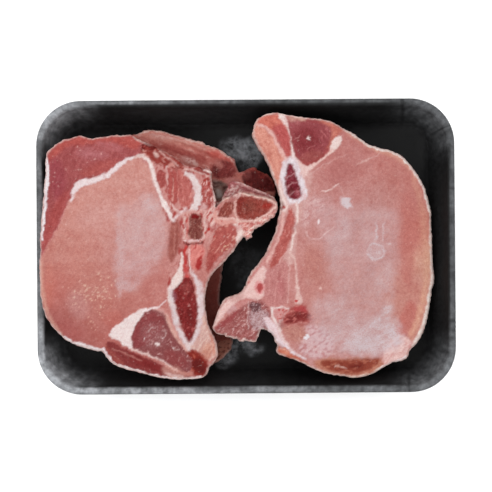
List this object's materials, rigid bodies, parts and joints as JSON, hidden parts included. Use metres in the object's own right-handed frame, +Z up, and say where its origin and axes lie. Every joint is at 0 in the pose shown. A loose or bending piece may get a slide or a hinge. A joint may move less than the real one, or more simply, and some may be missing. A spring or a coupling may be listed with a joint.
{
  "type": "meat tray pack",
  "caption": "Raw bone-in pork chops lying on one another in a black foam supermarket tray with sloping walls and round corners",
  "frame": {"origin": "middle of the tray's flat underside", "axes": "+X along the tray's length to the picture's right, +Y across it to the picture's top, +Z up"},
  "size_m": [0.21, 0.1474, 0.0379],
  "materials": {
    "black_foam": "black expanded polystyrene foam with a fine closed skin",
    "pork": "raw pork, pale pink lean with white fat seams, moist and lightly frosted",
    "bone": "sawn pork bone with dark red marrow and a pale rim"
  },
  "bodies": {
    "root": {"tray": "black_foam", "left_chop_meat": "pork", "left_chop_rib": "bone", "left_chop_vertebra": "bone", "left_chop_arch": "bone", "left_chop_rib_head": "bone", "lower_chop_meat": "pork", "lower_chop_vertebra": "bone", "lower_chop_arch": "bone", "right_chop_meat": "pork", "right_chop_rib": "bone", "right_chop_vertebra": "bone"}
  },
  "joints": []
}
